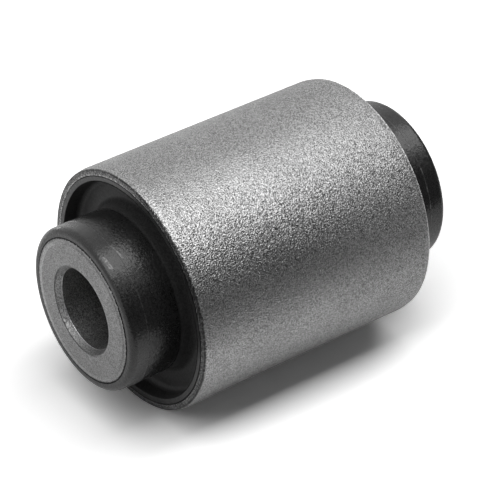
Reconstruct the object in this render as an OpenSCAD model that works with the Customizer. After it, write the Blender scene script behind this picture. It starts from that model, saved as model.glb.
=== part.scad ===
// Rubber metal bush: a steel outer sleeve and a thick inner sleeve with rubber moulded between them.
// It stands on the lower face of the inner sleeve, with +Z along the bore. Sizes are in millimetres.

/* [Outer sleeve] */
// Outside diameter, the press fit in the arm's eye
sleeve_d = 42.5; // [38:0.1:60]
// Length between the end faces
sleeve_l = 46.5; // [30:0.1:60]
// Wall thickness
sleeve_wall = 1.4; // [1:0.1:2.5]
// Length of the shallow lead-in taper at each end
lead_l = 1.2; // [0.5:0.1:3]
// How far the lead-in taper drops the radius
lead_drop = 0.18; // [0.05:0.01:0.4]
// Chamfer between the lead-in taper and the end face
sleeve_edge = 0.14; // [0.1:0.01:0.3]
// Chamfer on the inside edge of each end face
sleeve_inside_edge = 0.15; // [0.1:0.05:0.3]

/* [Inner sleeve] */
// Outside diameter
core_d = 25.4; // [20:0.1:27]
// Length between the clamped end faces
core_l = 65.1; // [60:0.1:90]
// Diameter of the bolt's bore
bore_d = 14.2; // [10:0.1:16]
// Radial width of the countersink at each mouth of the bore
mouth_w = 0.6; // [0.2:0.1:1.2]
// Depth of the countersink
mouth_l = 1; // [0.4:0.05:2]
// Chamfer on the outside edge of each end face
core_edge = 0.25; // [0.1:0.05:0.5]

/* [Rubber necks] */
// Thickness of the rubber round the inner sleeve
neck_wall = 1.55; // [1.2:0.05:2.5]
// How far each neck ends short of the inner sleeve's face
neck_setback = 0.1; // [0.05:0.05:1]
// Rounding of the outer corner at each neck's end
neck_round = 1; // [0.3:0.1:1.6]
// Distance from a neck's end to the mould's parting line round it
parting_in = 3.3; // [2:0.05:5]
// Radius of the bead that the parting line leaves
parting_r = 0.15; // [0.1:0.01:0.2]
// How far the bead stands out of the neck
parting_h = 0.04; // [0.02:0.01:0.1]

/* [Rubber recesses] */
// Depth of the annular recess at each end
recess_depth = 3; // [2.5:0.1:8]
// Thickness of the rubber that lines the sleeve at the recess's mouth
lining = 0.85; // [0.4:0.05:1.2]
// Extra thickness of the lining at the recess's floor, for mould draft
draft = 0.35; // [0.1:0.05:0.6]
// Radius between the lining and the recess's floor
floor_corner = 1; // [0.3:0.1:1.2]
// Radius between the recess's floor and the neck
neck_fillet = 1.2; // [0.5:0.1:3.2]
// Rounding of the lining's edge at the recess's mouth
mouth_round = 0.2; // [0.1:0.05:0.3]
// Least flat that is left beside a rounding
least_flat = 0.05; // [0.02:0.01:0.1]

/* [Hidden] */
$fn = 128;

sleeve_r = sleeve_d / 2;
sleeve_bore_r = sleeve_r - sleeve_wall;
core_r = core_d / 2;
bore_r = bore_d / 2;
neck_r = core_r + neck_wall;
sleeve_top = sleeve_l / 2;
core_top = core_l / 2;
neck_top = core_top - neck_setback;
mouth_r = sleeve_bore_r - lining;
recess_floor = sleeve_top - recess_depth;
draft_angle = atan(draft / recess_depth);
// Each rounding is limited by its own wall and by the room beside it
end_round = min(neck_round, neck_wall - least_flat);
corner = min(floor_corner, (mouth_r - draft - neck_r) / 3, recess_depth - least_flat);
corner_z = recess_floor + corner;
corner_r = lining_r(corner_z) - corner / cos(draft_angle);
fillet = min(neck_fillet, corner_r - neck_r - least_flat, recess_depth - least_flat);
fillet_r = neck_r + fillet;
fillet_z = recess_floor + fillet;
// How far a cut runs past the face that it opens
past = 1;

// Radius of the drafted lining at a height
function lining_r(z) = mouth_r - (sleeve_top - z) * tan(draft_angle);

// A closed outline from the points of its upper half, which run from the outside to the bore
function mirrored(upper) = concat(
    upper,
    [for (i = [len(upper) - 1:-1:0]) [upper[i][0], -upper[i][1]]]
);

// Draws its children at both ends of the bush, mirrored about the middle
module both_ends() {
    children();
    mirror([0, 1]) children();
}

// Spins a half section, drawn as radius and height about the middle, into its place above the ground
module turned() {
    translate([0, 0, core_top])
        rotate_extrude()
            children();
}

// Half section of the outer sleeve's wall, with a lead-in taper at each end
module sleeve_section() {
    polygon(mirrored([
        [sleeve_r, sleeve_top - lead_l],
        [sleeve_r - lead_drop, sleeve_top - sleeve_edge],
        [sleeve_r - lead_drop - sleeve_edge, sleeve_top],
        [sleeve_bore_r + sleeve_inside_edge, sleeve_top],
        [sleeve_bore_r, sleeve_top - sleeve_inside_edge]
    ]));
}

// Half section of the inner sleeve's wall, with a countersink at each mouth of the bore
module core_section() {
    polygon(mirrored([
        [core_r, core_top - core_edge],
        [core_r - core_edge, core_top],
        [bore_r + mouth_w, core_top],
        [bore_r, core_top - mouth_l]
    ]));
}

// Half section of the rubber tube round the inner sleeve, up to the rounding of its ends
module neck_section() {
    straight = neck_top - end_round;
    translate([core_r, -straight])
        square([neck_wall, straight * 2]);
}

// Half section of a neck's rounded end
module neck_end() {
    flat = neck_wall - end_round;
    translate([core_r, neck_top - end_round]) {
        square([flat, end_round]);
        translate([flat, 0])
            intersection() {
                circle(end_round);
                square(end_round);
            }
    }
}

// Half section of the bead that the mould's parting line leaves round the neck
module parting_bead() {
    translate([neck_r + parting_h - parting_r, neck_top - parting_in])
        circle(parting_r);
}

// Half section of the rubber that fills the outer sleeve
module filling_section() {
    translate([core_r, -sleeve_top])
        square([sleeve_bore_r - core_r, sleeve_l]);
}

// Half section of the annular recess: a drafted outer wall, a rounded corner, a flat floor and a fillet to the neck
module recess_section() {
    wall_foot = [corner_r + corner * cos(draft_angle), corner_z - corner * sin(draft_angle)];
    polygon([
        [neck_r, sleeve_top + past],
        [lining_r(sleeve_top + past), sleeve_top + past],
        wall_foot,
        [corner_r, corner_z],
        [corner_r, recess_floor],
        [fillet_r, recess_floor],
        [fillet_r, fillet_z],
        [neck_r, fillet_z]
    ]);
    translate([corner_r, corner_z])
        intersection() {
            circle(corner);
            polygon([
                [0, 0],
                [0, -corner * 2],
                [corner * 2, -corner * 2],
                [corner * 2, -corner * 2 * tan(draft_angle)]
            ]);
        }
    translate([fillet_r, fillet_z])
        intersection() {
            circle(fillet);
            translate([-fillet, -fillet])
                square(fillet);
        }
}

// What the rounded edge takes off the lining at the recess's mouth
module mouth_rounding() {
    edge_z = sleeve_top - mouth_round;
    edge_r = lining_r(edge_z) + mouth_round / cos(draft_angle);
    difference() {
        polygon([
            [edge_r, edge_z],
            [edge_r - mouth_round * cos(draft_angle), edge_z + mouth_round * sin(draft_angle)],
            [lining_r(sleeve_top + past), sleeve_top + past],
            [edge_r, sleeve_top + past]
        ]);
        translate([edge_r, edge_z])
            circle(mouth_round);
    }
}

module outer_sleeve() {
    color("#7d7e80")
        turned()
            sleeve_section();
}

module rubber_body() {
    color("#2b2b2c")
        turned() {
            difference() {
                filling_section();
                both_ends() {
                    recess_section();
                    mouth_rounding();
                }
            }
            neck_section();
            both_ends() {
                neck_end();
                parting_bead();
            }
        }
}

module inner_sleeve() {
    color("#8c8d8f")
        turned()
            core_section();
}

outer_sleeve();
rubber_body();
inner_sleeve();
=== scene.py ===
"""Looks of the bonded rubber bush: a steel outer sleeve, a rubber body and a thick inner sleeve.

The bush stands on its inner sleeve, and the camera leans over, so that the bush lies on its side in the
picture. The ground in the picture is a white sheet that touches the outer sleeve along one line.
"""
from functools import reduce
from math import cos, pi, radians, sin, tan

import bmesh
import bpy
from mathutils import Matrix, Vector


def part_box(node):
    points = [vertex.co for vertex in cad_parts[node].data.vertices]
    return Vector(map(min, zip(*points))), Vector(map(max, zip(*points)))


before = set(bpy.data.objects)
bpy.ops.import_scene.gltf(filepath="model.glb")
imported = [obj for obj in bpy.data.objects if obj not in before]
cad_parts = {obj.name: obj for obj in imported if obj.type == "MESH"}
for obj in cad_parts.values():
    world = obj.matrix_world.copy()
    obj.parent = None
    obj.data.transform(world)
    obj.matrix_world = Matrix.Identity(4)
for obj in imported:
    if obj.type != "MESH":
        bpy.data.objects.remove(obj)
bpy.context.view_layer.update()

MM = 0.001

# Camera: it looks along +Y and down, and leans over to its right
CAMERA_LENS = 211.15
CAMERA_SENSOR = 36
CAMERA_NEAREST = 10 * MM
CAMERA_DISTANCE = 471.3 * MM
CAMERA_ELEVATION = radians(29.42)
CAMERA_LEAN = radians(113.26)
CAMERA_AIM = Vector((0.45, 0, 32.85)) * MM

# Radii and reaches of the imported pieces. The rubber fills the outer sleeve's bore
SLEEVE_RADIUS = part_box("outer_sleeve")[1].x
SLEEVE_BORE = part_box("rubber_body")[1].x
CORE_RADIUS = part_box("inner_sleeve")[1].x
BUSH_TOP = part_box("inner_sleeve")[1].z
BUSH_CENTRE = Vector((0, 0, BUSH_TOP / 2))
SLEEVE_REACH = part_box("outer_sleeve")[1].z - BUSH_CENTRE.z

# Sizes that the boxes don't give: the rubber's neck, and the inner sleeve's bore with its countersink
NECK_RADIUS = CORE_RADIUS + 1.55 * MM
BORE_RADIUS = 7.1 * MM
MOUTH_RADIUS = BORE_RADIUS + 0.6 * MM
# Radius and reach, added up, on the chamfer of the outer sleeve's outer corner
SLEEVE_CORNER = SLEEVE_RADIUS + SLEEVE_REACH - 0.32 * MM
# Inner edge of the rubber that lines the sleeve, and the parting lines' distance from the bush's middle
LIP_RADIUS = SLEEVE_BORE - 0.8 * MM
PARTING = BUSH_CENTRE.z - 3.4 * MM

# White sheet: how far it runs to the front, to the back and to each side of the line that it touches, and
# its level to the camera, where metal mirrors it, and on the bush's dull surfaces
SHEET_FRONT = 70 * MM
SHEET_BACK = 330 * MM
SHEET_SIDE = 300 * MM
SHEET_WHITE = 1.8
SHEET_MIRRORED = 1.25
SHEET_GREY = 0.6

# Softbox over the bush, given by the angles from straight up to its front and back edges
SOFTBOX_HEIGHT = 600 * MM
SOFTBOX_FRONT = radians(24)
SOFTBOX_BACK = radians(10.7)
SOFTBOX_NEAR = 1100 * MM
SOFTBOX_FAR = 650 * MM
SOFTBOX_LEVEL = 2.9

# Lamp under the sheet, for the back of the bush, by its turn from straight down to the back
UNDER_TURN = radians(62)
UNDER_DISTANCE = 260 * MM
UNDER_WIDTH = 320 * MM
UNDER_LENGTH = 60 * MM
UNDER_LEVEL = 3.5

# Level of the white room on the bush's dull surfaces
ROOM_LEVEL = 0.02

# Dark card in front of the bush, given by its turn about the stage's upright from the back
CARD_RADIUS = 620 * MM
CARD_FROM = radians(110)
CARD_TO = radians(290)
CARD_LOW = -260 * MM
CARD_HIGH = 480 * MM
CARD_STEPS = 32
CARD_GREY = 0.12

# Ranges that a noise mostly stays in, for soft clouds and for crisp flecks
CLOUDS = (0.3, 0.7)
FLECKS = (0.4, 0.6)

# Blasted steel: the sizes of its dents, dimples, flecks and clouds
BLASTED_DENT = 0.13 * MM
BLASTED_DIMPLE = 0.27 * MM
BLASTED_DIMPLE_DEPTH = 0.07 * MM
BLASTED_FLECK = 0.22 * MM
BLASTED_CLOUD = 9 * MM
BLASTED_GREYS = (0.26, 0.28)
BLASTED_SPECKLE = 0.75
BLASTED_ROUGHNESS = (0.39, 0.35)
# Lean of its dents, on the straight part and on the tapers
BLASTED_LEAN = (0.29, 0.2)

# Satin steel: the sizes of its dents, dimples and clouds. The dimples' depth is a part of a millimetre
SATIN_DENT = 0.14 * MM
SATIN_DIMPLE = 0.27 * MM
SATIN_DIMPLE_DEPTH = 0.02
SATIN_CLOUD = 5 * MM
SATIN_GREYS = (0.195, 0.215)
SATIN_SPECKLE = 0.5
SATIN_ROUGHNESS = (0.4, 0.36)
MOUTH_ROUGHNESS = 0.55
# Lean of its dents, on the faces and in the countersink
SATIN_LEAN = (0.2, 0.25)

# Rubber: the sizes of its dents, ripples and clouds. The ripples' depth is a part of a millimetre
RUBBER_DENT = 0.2 * MM
RUBBER_RIPPLE = 0.5 * MM
RUBBER_RIPPLE_DEPTH = 0.05
RUBBER_CLOUD = 4 * MM
RUBBER_GREYS = (0.013, 0.017)
RUBBER_SPECKLE = 0.5
RUBBER_IOR = 1.45
RUBBER_LEAN = 0.1
NECK_ROUGHNESS = (0.22, 0.29)
RECESS_ROUGHNESS = 0.58
# Grey that is added where the rubber is rubbed, and as painted highlight and painted light on the necks
RUB_AND_HIGHLIGHT_GREY = 0.16
# Widths of the marks on the necks, and their strengths where these aren't 1
NEAR_FLASH_WIDTH = 0.5 * MM
FAR_FLASH_WIDTH = 0.3 * MM
NECK_HIGHLIGHT_WIDTH = 0.8 * MM
NECK_HIGHLIGHT_STRENGTH = 1.6
PARTING_STRENGTH = 0.22


def camera_turn():
    return Matrix.Rotation(pi / 2 - CAMERA_ELEVATION, 3, "X") @ Matrix.Rotation(-CAMERA_LEAN, 3, "Z")


def stage_turn():
    """Back, along and up of the stage, as columns: along is the bush's axis, and up is square to it."""
    level = camera_turn().col[0]
    along = Vector((0, 0, 1))
    up = along.cross(level).normalized()
    back = along.cross(up)
    return Matrix((back, along, up)).transposed()


def stage_place():
    """The stage's matrix: its origin is the bush's centre."""
    return Matrix.Translation(BUSH_CENTRE) @ stage_turn().to_4x4()


def link(name, data):
    made = bpy.data.objects.new(name, data)
    bpy.context.scene.collection.objects.link(made)
    return made


def make_camera():
    data = bpy.data.cameras.new("camera")
    data.lens = CAMERA_LENS
    data.sensor_width = CAMERA_SENSOR
    data.clip_start = CAMERA_NEAREST
    camera = link("camera", data)
    turn = camera_turn()
    place = CAMERA_AIM + turn @ Vector((0, 0, CAMERA_DISTANCE))
    camera.matrix_world = Matrix.Translation(place) @ turn.to_4x4()
    bpy.context.scene.camera = camera


def node(tree, kind, **settings):
    made = tree.nodes.new(kind)
    for name, value in settings.items():
        setattr(made, name, value)
    return made


def join(tree, source, target):
    tree.links.new(source, target)


def feed(tree, value, socket):
    """Gives a socket a number, a vector or another node's output."""
    if isinstance(value, bpy.types.NodeSocket):
        join(tree, value, socket)
    else:
        socket.default_value = value


def math_node(tree, operation, *values):
    made = node(tree, "ShaderNodeMath", operation=operation)
    for socket, value in zip(made.inputs, values):
        feed(tree, value, socket)
    return made.outputs[0]


def vector_node(tree, operation, *values):
    made = node(tree, "ShaderNodeVectorMath", operation=operation)
    for socket, value in zip(made.inputs, values):
        feed(tree, value, socket)
    return made


def scaled(tree, vector, factor):
    made = vector_node(tree, "SCALE", vector)
    feed(tree, factor, made.inputs["Scale"])
    return made.outputs[0]


def product(tree, *factors):
    return reduce(lambda total, factor: math_node(tree, "MULTIPLY", total, factor), factors)


def strongest(tree, *masks):
    return reduce(lambda most, mask: math_node(tree, "MAXIMUM", most, mask), masks)


def map_range(tree, value, source, target, smooth=False):
    """Carries a value from one range to another, and holds it at the ends."""
    made = node(tree, "ShaderNodeMapRange", interpolation_type="SMOOTHSTEP" if smooth else "LINEAR")
    for name, number in zip(("From Min", "From Max", "To Min", "To Max"), (*source, *target)):
        made.inputs[name].default_value = number
    join(tree, value, made.inputs["Value"])
    return made.outputs[0]


def new_material(name):
    material = bpy.data.materials.new(name)
    material.use_nodes = True
    material.node_tree.nodes.clear()
    return material, material.node_tree


def mix_shaders(tree, factor, first, second):
    mix = node(tree, "ShaderNodeMixShader")
    for socket, source in zip(mix.inputs, (factor, first, second)):
        join(tree, source, socket)
    return mix.outputs[0]


def shader_of(tree, kind, level):
    made = node(tree, kind)
    made.inputs["Color"].default_value = (level, level, level, 1)
    return made.outputs[0]


def white_sheet_paper():
    """White to the camera and in metal, with the bush's shadow.

    It is clear from behind, and lets light from below through to the bush.
    """
    material, tree = new_material("white_sheet_paper")
    out = node(tree, "ShaderNodeOutputMaterial")
    sides = node(tree, "ShaderNodeNewGeometry")
    ray = node(tree, "ShaderNodeLightPath")
    plain = shader_of(tree, "ShaderNodeBsdfDiffuse", SHEET_GREY)
    mirrored = shader_of(tree, "ShaderNodeBsdfDiffuse", SHEET_MIRRORED)
    white = shader_of(tree, "ShaderNodeBsdfDiffuse", SHEET_WHITE)
    clear = node(tree, "ShaderNodeBsdfTransparent").outputs[0]
    # Metal mirrors the bright sheet to the camera, but doesn't light the sheet under it with it
    no_bounce = math_node(tree, "LESS_THAN", ray.outputs["Diffuse Depth"], 0.5)
    in_mirror = math_node(tree, "MULTIPLY", ray.outputs["Is Glossy Ray"], no_bounce)
    indirect = mix_shaders(tree, in_mirror, plain, mirrored)
    front = mix_shaders(tree, ray.outputs["Is Camera Ray"], indirect, white)
    let_through = strongest(tree, sides.outputs["Backfacing"], ray.outputs["Is Shadow Ray"])
    join(tree, mix_shaders(tree, let_through, front, clear), out.inputs["Surface"])
    return material


def mesh_of(name, shape, place, material):
    """A mesh from a bmesh that is moved to its place first."""
    bmesh.ops.transform(shape, matrix=place, verts=shape.verts)
    mesh = bpy.data.meshes.new(name)
    shape.to_mesh(mesh)
    shape.free()
    mesh.materials.append(material)
    return mesh


def make_sheet():
    shape = bmesh.new()
    bmesh.ops.create_grid(shape, x_segments=1, y_segments=1, size=0.5)
    spread = Matrix.Diagonal((SHEET_FRONT + SHEET_BACK, 2 * SHEET_SIDE, 1, 1))
    middle = Matrix.Translation(((SHEET_BACK - SHEET_FRONT) / 2, 0, -SLEEVE_RADIUS))
    mesh = mesh_of("white_sheet", shape, stage_place() @ middle @ spread, white_sheet_paper())
    link("white_sheet", mesh)


def make_room():
    """A white room, which lights dull surfaces at its own lower level."""
    room = bpy.data.worlds.new("white_room")
    room.use_nodes = True
    tree = room.node_tree
    tree.nodes.clear()
    out = node(tree, "ShaderNodeOutputWorld")
    ray = node(tree, "ShaderNodeLightPath")
    seen = strongest(tree, ray.outputs["Is Camera Ray"], ray.outputs["Is Glossy Ray"])
    walls = node(tree, "ShaderNodeBackground")
    walls.inputs["Color"].default_value = (1, 1, 1, 1)
    join(tree, map_range(tree, seen, (0, 1), (ROOM_LEVEL, 1)), walls.inputs["Strength"])
    join(tree, walls.outputs[0], out.inputs["Surface"])
    bpy.context.scene.world = room


def make_lamp(name, width, length, level, place):
    """A soft lamp that the camera doesn't see, at a place on the stage. Its level is its own brightness."""
    data = bpy.data.lights.new(name, "AREA")
    data.shape = "RECTANGLE"
    data.size = width
    data.size_y = length
    data.energy = level * pi * data.size * data.size_y
    lamp = link(name, data)
    lamp.matrix_world = stage_place() @ place
    lamp.visible_camera = False


def make_softbox():
    """The main light, which hangs level over the bush, a little to the front."""
    front = SOFTBOX_HEIGHT * tan(SOFTBOX_FRONT)
    back = SOFTBOX_HEIGHT * tan(SOFTBOX_BACK)
    middle = Vector(((back - front) / 2, (SOFTBOX_NEAR - SOFTBOX_FAR) / 2, SOFTBOX_HEIGHT))
    width = front + back
    length = SOFTBOX_NEAR + SOFTBOX_FAR
    make_lamp("softbox", width, length, SOFTBOX_LEVEL, Matrix.Translation(middle))


def make_under_lamp():
    """A small light from under the sheet, mostly for what the photo's camera doesn't see."""
    place = Matrix.Rotation(pi - UNDER_TURN, 4, "Y") @ Matrix.Translation((0, 0, UNDER_DISTANCE))
    make_lamp("under_lamp", UNDER_WIDTH, UNDER_LENGTH, UNDER_LEVEL, place)


def dark_card_cloth():
    """Dark grey to the bush, and clear to the camera."""
    material, tree = new_material("dark_card_cloth")
    out = node(tree, "ShaderNodeOutputMaterial")
    ray = node(tree, "ShaderNodeLightPath")
    dark = shader_of(tree, "ShaderNodeEmission", CARD_GREY)
    clear = node(tree, "ShaderNodeBsdfTransparent").outputs[0]
    join(tree, mix_shaders(tree, ray.outputs["Is Camera Ray"], dark, clear), out.inputs["Surface"])
    return material


def make_dark_card():
    """The dark side of the room, a curved card in front of the bush."""
    shape = bmesh.new()
    foot = shape.verts.new((cos(CARD_FROM) * CARD_RADIUS, sin(CARD_FROM) * CARD_RADIUS, CARD_LOW))
    head = shape.verts.new(foot.co + Vector((0, 0, CARD_HIGH - CARD_LOW)))
    edge = shape.edges.new((foot, head))
    bmesh.ops.spin(
        shape,
        geom=[foot, head, edge],
        cent=(0, 0, 0),
        axis=(0, 0, 1),
        angle=CARD_TO - CARD_FROM,
        steps=CARD_STEPS,
    )
    mesh = mesh_of("dark_card", shape, stage_place(), dark_card_cloth())
    link("dark_card", mesh)


def texture(tree, kind, place, size, **settings):
    made = node(tree, kind, **settings)
    made.inputs["Scale"].default_value = 1 / size
    join(tree, place, made.inputs["Vector"])
    return made


def noise(tree, place, size, detail, roughness=0.5):
    made = texture(tree, "ShaderNodeTexNoise", place, size)
    made.inputs["Detail"].default_value = detail
    made.inputs["Roughness"].default_value = roughness
    return made.outputs["Fac"]


def wandering(tree, place):
    """The noise that edges run unevenly by."""
    return noise(tree, place, 0.35 * MM, detail=3, roughness=0.7)


def dents(tree, place, size):
    """Dents packed side by side: a random colour for each."""
    return texture(tree, "ShaderNodeTexVoronoi", place, size, feature="F1").outputs["Color"]


def dimples(tree, place, size):
    """The height of a surface that is full of round dimples."""
    made = texture(tree, "ShaderNodeTexVoronoi", place, size, feature="SMOOTH_F1")
    made.inputs["Smoothness"].default_value = 0.3
    return made.outputs["Distance"]


def bump(tree, height, depth):
    made = node(tree, "ShaderNodeBump")
    made.inputs["Distance"].default_value = depth
    join(tree, height, made.inputs["Height"])
    return made.outputs[0]


def leaned(tree, under, dent, lean):
    """A normal that leans another way in each dent."""
    about_nought = vector_node(tree, "SUBTRACT", dent, (0.5, 0.5, 0.5)).outputs[0]
    total = vector_node(tree, "ADD", under, scaled(tree, about_nought, lean)).outputs[0]
    return vector_node(tree, "NORMALIZE", total).outputs[0]


def speckle(tree, dent, spread):
    """A number near 1, another one in each dent."""
    split = node(tree, "ShaderNodeSeparateColor")
    join(tree, dent, split.inputs[0])
    return map_range(tree, split.outputs[0], (0, 1), (1 - spread, 1 + spread))


def radius_of(tree, place):
    """Distance from the bush's axis."""
    flat = vector_node(tree, "MULTIPLY", place, (1, 1, 0)).outputs[0]
    return vector_node(tree, "LENGTH", flat).outputs["Value"]


def height_of(tree, place):
    """Height over the bush's middle, along its axis."""
    split = node(tree, "ShaderNodeSeparateXYZ")
    join(tree, place, split.inputs[0])
    return math_node(tree, "SUBTRACT", split.outputs["Z"], BUSH_CENTRE.z)


def side_of(tree, place, radius, turn):
    """From 1 on the side at this turn round the axis to -1 opposite to it."""
    along = vector_node(tree, "DOT_PRODUCT", place, (cos(turn), sin(turn), 0)).outputs["Value"]
    return math_node(tree, "DIVIDE", along, radius)


def beyond(edge, first, last):
    """A range that is given in millimetres past an edge."""
    return edge + first * MM, edge + last * MM


def band(tree, measure, between, soft):
    """1 between two values of a measure, and 0 beyond them."""
    low, high = between
    rise = map_range(tree, measure, (low - soft / 2, low + soft / 2), (0, 1), smooth=True)
    fall = map_range(tree, measure, (high - soft / 2, high + soft / 2), (1, 0), smooth=True)
    return math_node(tree, "MULTIPLY", rise, fall)


def blend(tree, mask, value):
    """The value where the mask is 1, and 1 where it is 0."""
    return math_node(tree, "MULTIPLY_ADD", mask, math_node(tree, "SUBTRACT", value, 1), 1)


def ragged(tree, measure, wander, width):
    """A measure with a noise about nought added, so that the edges drawn from it run unevenly."""
    return math_node(tree, "ADD", measure, math_node(tree, "MULTIPLY_ADD", wander, width, -width / 2))


def spot(turn, height):
    """A point on a neck, by its turn in degrees and its height over the bush's middle in millimetres."""
    angle = radians(turn)
    return BUSH_CENTRE + Vector((cos(angle) * NECK_RADIUS, sin(angle) * NECK_RADIUS, height * MM))


def scratch(tree, place, start, end, width):
    """1 along the line between two points, and 0 beyond its width."""
    run = end - start
    offset = vector_node(tree, "SUBTRACT", place, start).outputs[0]
    along = vector_node(tree, "DOT_PRODUCT", offset, run / run.length_squared).outputs["Value"]
    reached = scaled(tree, run, map_range(tree, along, (0, 1), (0, 1)))
    distance = vector_node(tree, "DISTANCE", offset, reached).outputs["Value"]
    return map_range(tree, distance, (width / 4, width / 2), (1, 0), smooth=True)


def grey(tree, value):
    """A grey colour from a number."""
    made = node(tree, "ShaderNodeCombineColor")
    for socket in made.inputs[:3]:
        join(tree, value, socket)
    return made.outputs[0]


def new_surface(name, metallic):
    material, tree = new_material(name)
    out = node(tree, "ShaderNodeOutputMaterial")
    shader = node(tree, "ShaderNodeBsdfPrincipled")
    shader.inputs["Metallic"].default_value = metallic
    join(tree, shader.outputs[0], out.inputs["Surface"])
    place = node(tree, "ShaderNodeTexCoord").outputs["Object"]
    return material, tree, shader, place


def blasted_steel():
    """Outer sleeve: a fine blasted grain under thin phosphate, calmer on the lead-in tapers."""
    material, tree, shader, place = new_surface("blasted_steel", 1)
    radius = radius_of(tree, place)
    height = height_of(tree, place)
    reach = math_node(tree, "ABSOLUTE", height)
    dent = dents(tree, place, BLASTED_DENT)
    fleck = noise(tree, place, BLASTED_FLECK, detail=1)
    wander = wandering(tree, place)
    cloud = noise(tree, place, BLASTED_CLOUD, detail=3)

    # End faces: dark and flecked, with a bare inner edge
    on_face = map_range(tree, reach, beyond(SLEEVE_REACH, -0.03, -0.01), (0, 1))
    inner_edge = ragged(tree, radius, wander, 0.5 * MM)
    bare_edge = map_range(tree, inner_edge, beyond(SLEEVE_BORE, 0.35, 0.45), (1.1, 0.5))
    face_tone = product(tree, map_range(tree, fleck, FLECKS, (0.3, 1.3)), bare_edge)
    # Painted shade in the gap along the rubber, narrower on one side
    narrower = side_of(tree, place, radius, radians(10))
    gap_shift = map_range(tree, narrower, (-0.3, 0.9), (0.08 * MM, -0.1 * MM))
    gap_edge = math_node(tree, "SUBTRACT", inner_edge, gap_shift)
    gap_painted_shade = map_range(tree, gap_edge, beyond(SLEEVE_BORE, 0.18, 0.26), (0.04, 1))
    # Painted shade along the outer corner of the upper face, and a painted highlight along the lower
    corner = ragged(tree, math_node(tree, "ADD", radius, height), wander, 0.6 * MM)
    corner_painted_shade = map_range(tree, corner, beyond(SLEEVE_CORNER, -0.12, -0.04), (1, 0.15))
    low_corner = ragged(tree, math_node(tree, "SUBTRACT", radius, height), wander, 0.3 * MM)
    low_corner_painted_highlight = map_range(tree, low_corner, beyond(SLEEVE_CORNER, -0.2, -0.1), (1, 1.8))
    tone = product(
        tree,
        map_range(tree, cloud, CLOUDS, BLASTED_GREYS),
        speckle(tree, dent, BLASTED_SPECKLE),
        blend(tree, on_face, face_tone),
        gap_painted_shade,
        corner_painted_shade,
        low_corner_painted_highlight,
    )
    join(tree, grey(tree, tone), shader.inputs["Base Color"])

    # The coat is duller towards the lower end
    coat = map_range(tree, height, (-22 * MM, 8 * MM), (0.15, 0), smooth=True)
    satin = map_range(tree, cloud, CLOUDS, BLASTED_ROUGHNESS)
    join(tree, math_node(tree, "ADD", satin, coat), shader.inputs["Roughness"])

    lean = map_range(tree, reach, beyond(SLEEVE_REACH, -1.3, -1.1), BLASTED_LEAN)
    dimpled = bump(tree, dimples(tree, place, BLASTED_DIMPLE), BLASTED_DIMPLE_DEPTH)
    join(tree, leaned(tree, dimpled, dent, lean), shader.inputs["Normal"])
    return material


def satin_steel():
    """Inner sleeve: a very fine grain, edges worn round with painted light and shade along them, painted
    light in the bore and countersink, and painted shade in the gap along the rubber.
    """
    material, tree, shader, place = new_surface("satin_steel", 1)
    radius = radius_of(tree, place)
    dent = dents(tree, place, SATIN_DENT)
    wander = wandering(tree, place)
    cloud = noise(tree, place, SATIN_CLOUD, detail=3)

    # Painted shade in the gap along the rubber, wider on one side
    wider = side_of(tree, place, radius, radians(110))
    gap_shift = map_range(tree, wider, (0.2, 0.9), (0, 0.22 * MM))
    outer_edge = math_node(tree, "ADD", ragged(tree, radius, wander, 0.6 * MM), gap_shift)
    gap_painted_shade = map_range(tree, outer_edge, beyond(CORE_RADIUS, -0.28, -0.2), (1, 0.04))
    # Bore, with painted light inside it, and the countersink at its mouths, with painted light on one side
    # and painted shade on the other
    bore_painted_light = map_range(tree, radius, beyond(BORE_RADIUS, 0.01, 0.03), (1.9, 1))
    past_bore = math_node(tree, "GREATER_THAN", radius, BORE_RADIUS + 0.02 * MM)
    in_mouth = math_node(tree, "MULTIPLY", past_bore, math_node(tree, "LESS_THAN", radius, MOUTH_RADIUS))
    mouth_side = side_of(tree, place, radius, radians(30))
    mouth_painted_light = map_range(tree, mouth_side, (-0.8, 0.9), (0.5, 1.25))
    # Painted light and shade along the end faces' outer edge, lighter on one side and darker opposite, and
    # painted shade along their inner edge on that side, lighter opposite
    one_side = side_of(tree, place, radius, radians(85))
    outer_ring = band(tree, radius, beyond(CORE_RADIUS, -1.15, -0.55), 0.15 * MM)
    edge_painted_light = map_range(tree, one_side, (-0.9, 0.7), (0.72, 1.65), smooth=True)
    inner_ring = band(tree, radius, beyond(BORE_RADIUS, 0.58, 0.9), 0.1 * MM)
    inner_edge_painted_shade = map_range(tree, one_side, (-0.9, 0.7), (1.25, 0.35), smooth=True)
    tone = product(
        tree,
        map_range(tree, cloud, CLOUDS, SATIN_GREYS),
        speckle(tree, dent, SATIN_SPECKLE),
        gap_painted_shade,
        bore_painted_light,
        blend(tree, outer_ring, edge_painted_light),
        blend(tree, inner_ring, inner_edge_painted_shade),
        blend(tree, in_mouth, mouth_painted_light),
    )
    join(tree, grey(tree, tone), shader.inputs["Base Color"])

    satin = map_range(tree, cloud, CLOUDS, SATIN_ROUGHNESS)
    rough_mouth = math_node(tree, "MULTIPLY", in_mouth, MOUTH_ROUGHNESS)
    join(tree, strongest(tree, satin, rough_mouth), shader.inputs["Roughness"])

    # Edges of the end faces, worn round
    inner_round = map_range(tree, radius, beyond(BORE_RADIUS, 0.6, 0.9), (-0.14, 0), smooth=True)
    outer_round = map_range(tree, radius, beyond(CORE_RADIUS, -1.2, -0.6), (0, -0.2), smooth=True)
    rounded = math_node(tree, "ADD", inner_round, outer_round)
    dimple = dimples(tree, place, SATIN_DIMPLE)
    relief = math_node(tree, "MULTIPLY_ADD", dimple, SATIN_DIMPLE_DEPTH, rounded)
    lean = map_range(tree, in_mouth, (0, 1), SATIN_LEAN)
    join(tree, leaned(tree, bump(tree, relief, MM), dent, lean), shader.inputs["Normal"])
    return material


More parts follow.
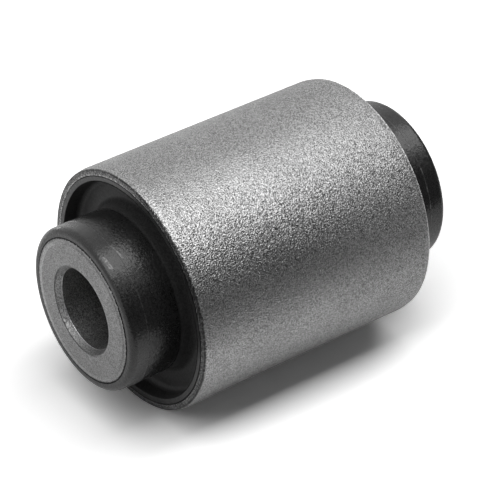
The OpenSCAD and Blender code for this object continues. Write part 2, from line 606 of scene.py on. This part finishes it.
# Marks on the necks, each from one point to another: flash, and a painted highlight streak
NEAR_FLASH = (spot(-58, 29.06), spot(-68.2, 28.64))
NECK_PAINTED_HIGHLIGHT = (spot(-64, 31.55), spot(-72, 31.4))
FAR_FLASHES = (
    (spot(-61, -29.1), spot(-76, -29.15)),
    (spot(-92, -29.2), spot(-106, -29.15)),
    (spot(-106, -29.15), spot(-121, -29.15)),
)


def moulded_rubber():
    """Rubber body: satin black with a fine ripple, rubbed flash, a painted highlight and painted light on
    the necks, and dull and painted lighter in the recesses.
    """
    material, tree, shader, place = new_surface("moulded_rubber", 0)
    radius = radius_of(tree, place)
    reach = math_node(tree, "ABSOLUTE", height_of(tree, place))
    dent = dents(tree, place, RUBBER_DENT)
    ripple = noise(tree, place, RUBBER_RIPPLE, detail=2)
    cloud = noise(tree, place, RUBBER_CLOUD, detail=3)
    outwards = map_range(tree, radius, beyond(NECK_RADIUS, 0.05, 0.6), (0, 1), smooth=True)
    inwards = map_range(tree, reach, beyond(SLEEVE_REACH, 0.3, -1), (0, 1), smooth=True)
    in_recess = strongest(tree, outwards, inwards)
    # The recesses are painted lighter: painted light
    tone = product(
        tree,
        map_range(tree, cloud, CLOUDS, RUBBER_GREYS),
        map_range(tree, in_recess, (0, 1), (1, 1.4)),
        speckle(tree, dent, RUBBER_SPECKLE),
    )

    # The parting lines, flash and a streak on the near neck, all lighter: the flash is rubbed, the streak is
    # a painted highlight, and the parting lines are partly painted light that evens out their beads' dark
    # line
    parting = band(tree, reach, beyond(PARTING, -0.12, 0.12), 0.08 * MM)
    marks = strongest(
        tree,
        scratch(tree, place, *NEAR_FLASH, NEAR_FLASH_WIDTH),
        math_node(tree, "MULTIPLY", scratch(tree, place, *NECK_PAINTED_HIGHLIGHT, NECK_HIGHLIGHT_WIDTH), NECK_HIGHLIGHT_STRENGTH),
        *[scratch(tree, place, *flash, FAR_FLASH_WIDTH) for flash in FAR_FLASHES],
        math_node(tree, "MULTIPLY", parting, PARTING_STRENGTH),
    )
    rubbed_and_highlit = math_node(tree, "MULTIPLY", marks, map_range(tree, ripple, FLECKS, (0.2, 1)))
    marked = math_node(tree, "MULTIPLY_ADD", rubbed_and_highlit, RUB_AND_HIGHLIGHT_GREY, tone)
    join(tree, grey(tree, marked), shader.inputs["Base Color"])

    # The lining's lip is glossier than the recess, and the neck's foot keeps dust that takes its gloss
    shader.inputs["IOR"].default_value = RUBBER_IOR
    gloss = map_range(tree, cloud, CLOUDS, NECK_ROUGHNESS)
    on_lip = map_range(tree, radius, beyond(LIP_RADIUS, -0.05, 0.05), (1, 0.5))
    dull = product(tree, in_recess, on_lip, RECESS_ROUGHNESS)
    foot = map_range(tree, radius, beyond(NECK_RADIUS, 0.3, 1.8), (1, 0.3), smooth=True)
    dusty = math_node(tree, "MULTIPLY", inwards, foot)
    join(tree, strongest(tree, gloss, dull, dusty), shader.inputs["Roughness"])

    relief = math_node(tree, "MULTIPLY", ripple, RUBBER_RIPPLE_DEPTH)
    join(tree, leaned(tree, bump(tree, relief, MM), dent, RUBBER_LEAN), shader.inputs["Normal"])
    return material


def finish_nodes():
    finishes = {
        "outer_sleeve": blasted_steel(),
        "inner_sleeve": satin_steel(),
        "rubber_body": moulded_rubber(),
    }
    for name, material in finishes.items():
        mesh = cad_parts[name].data
        mesh.materials.clear()
        mesh.materials.append(material)


make_camera()
make_room()
make_softbox()
make_under_lamp()
make_dark_card()
make_sheet()
finish_nodes()

bpy.context.scene.view_settings.view_transform = "Standard"
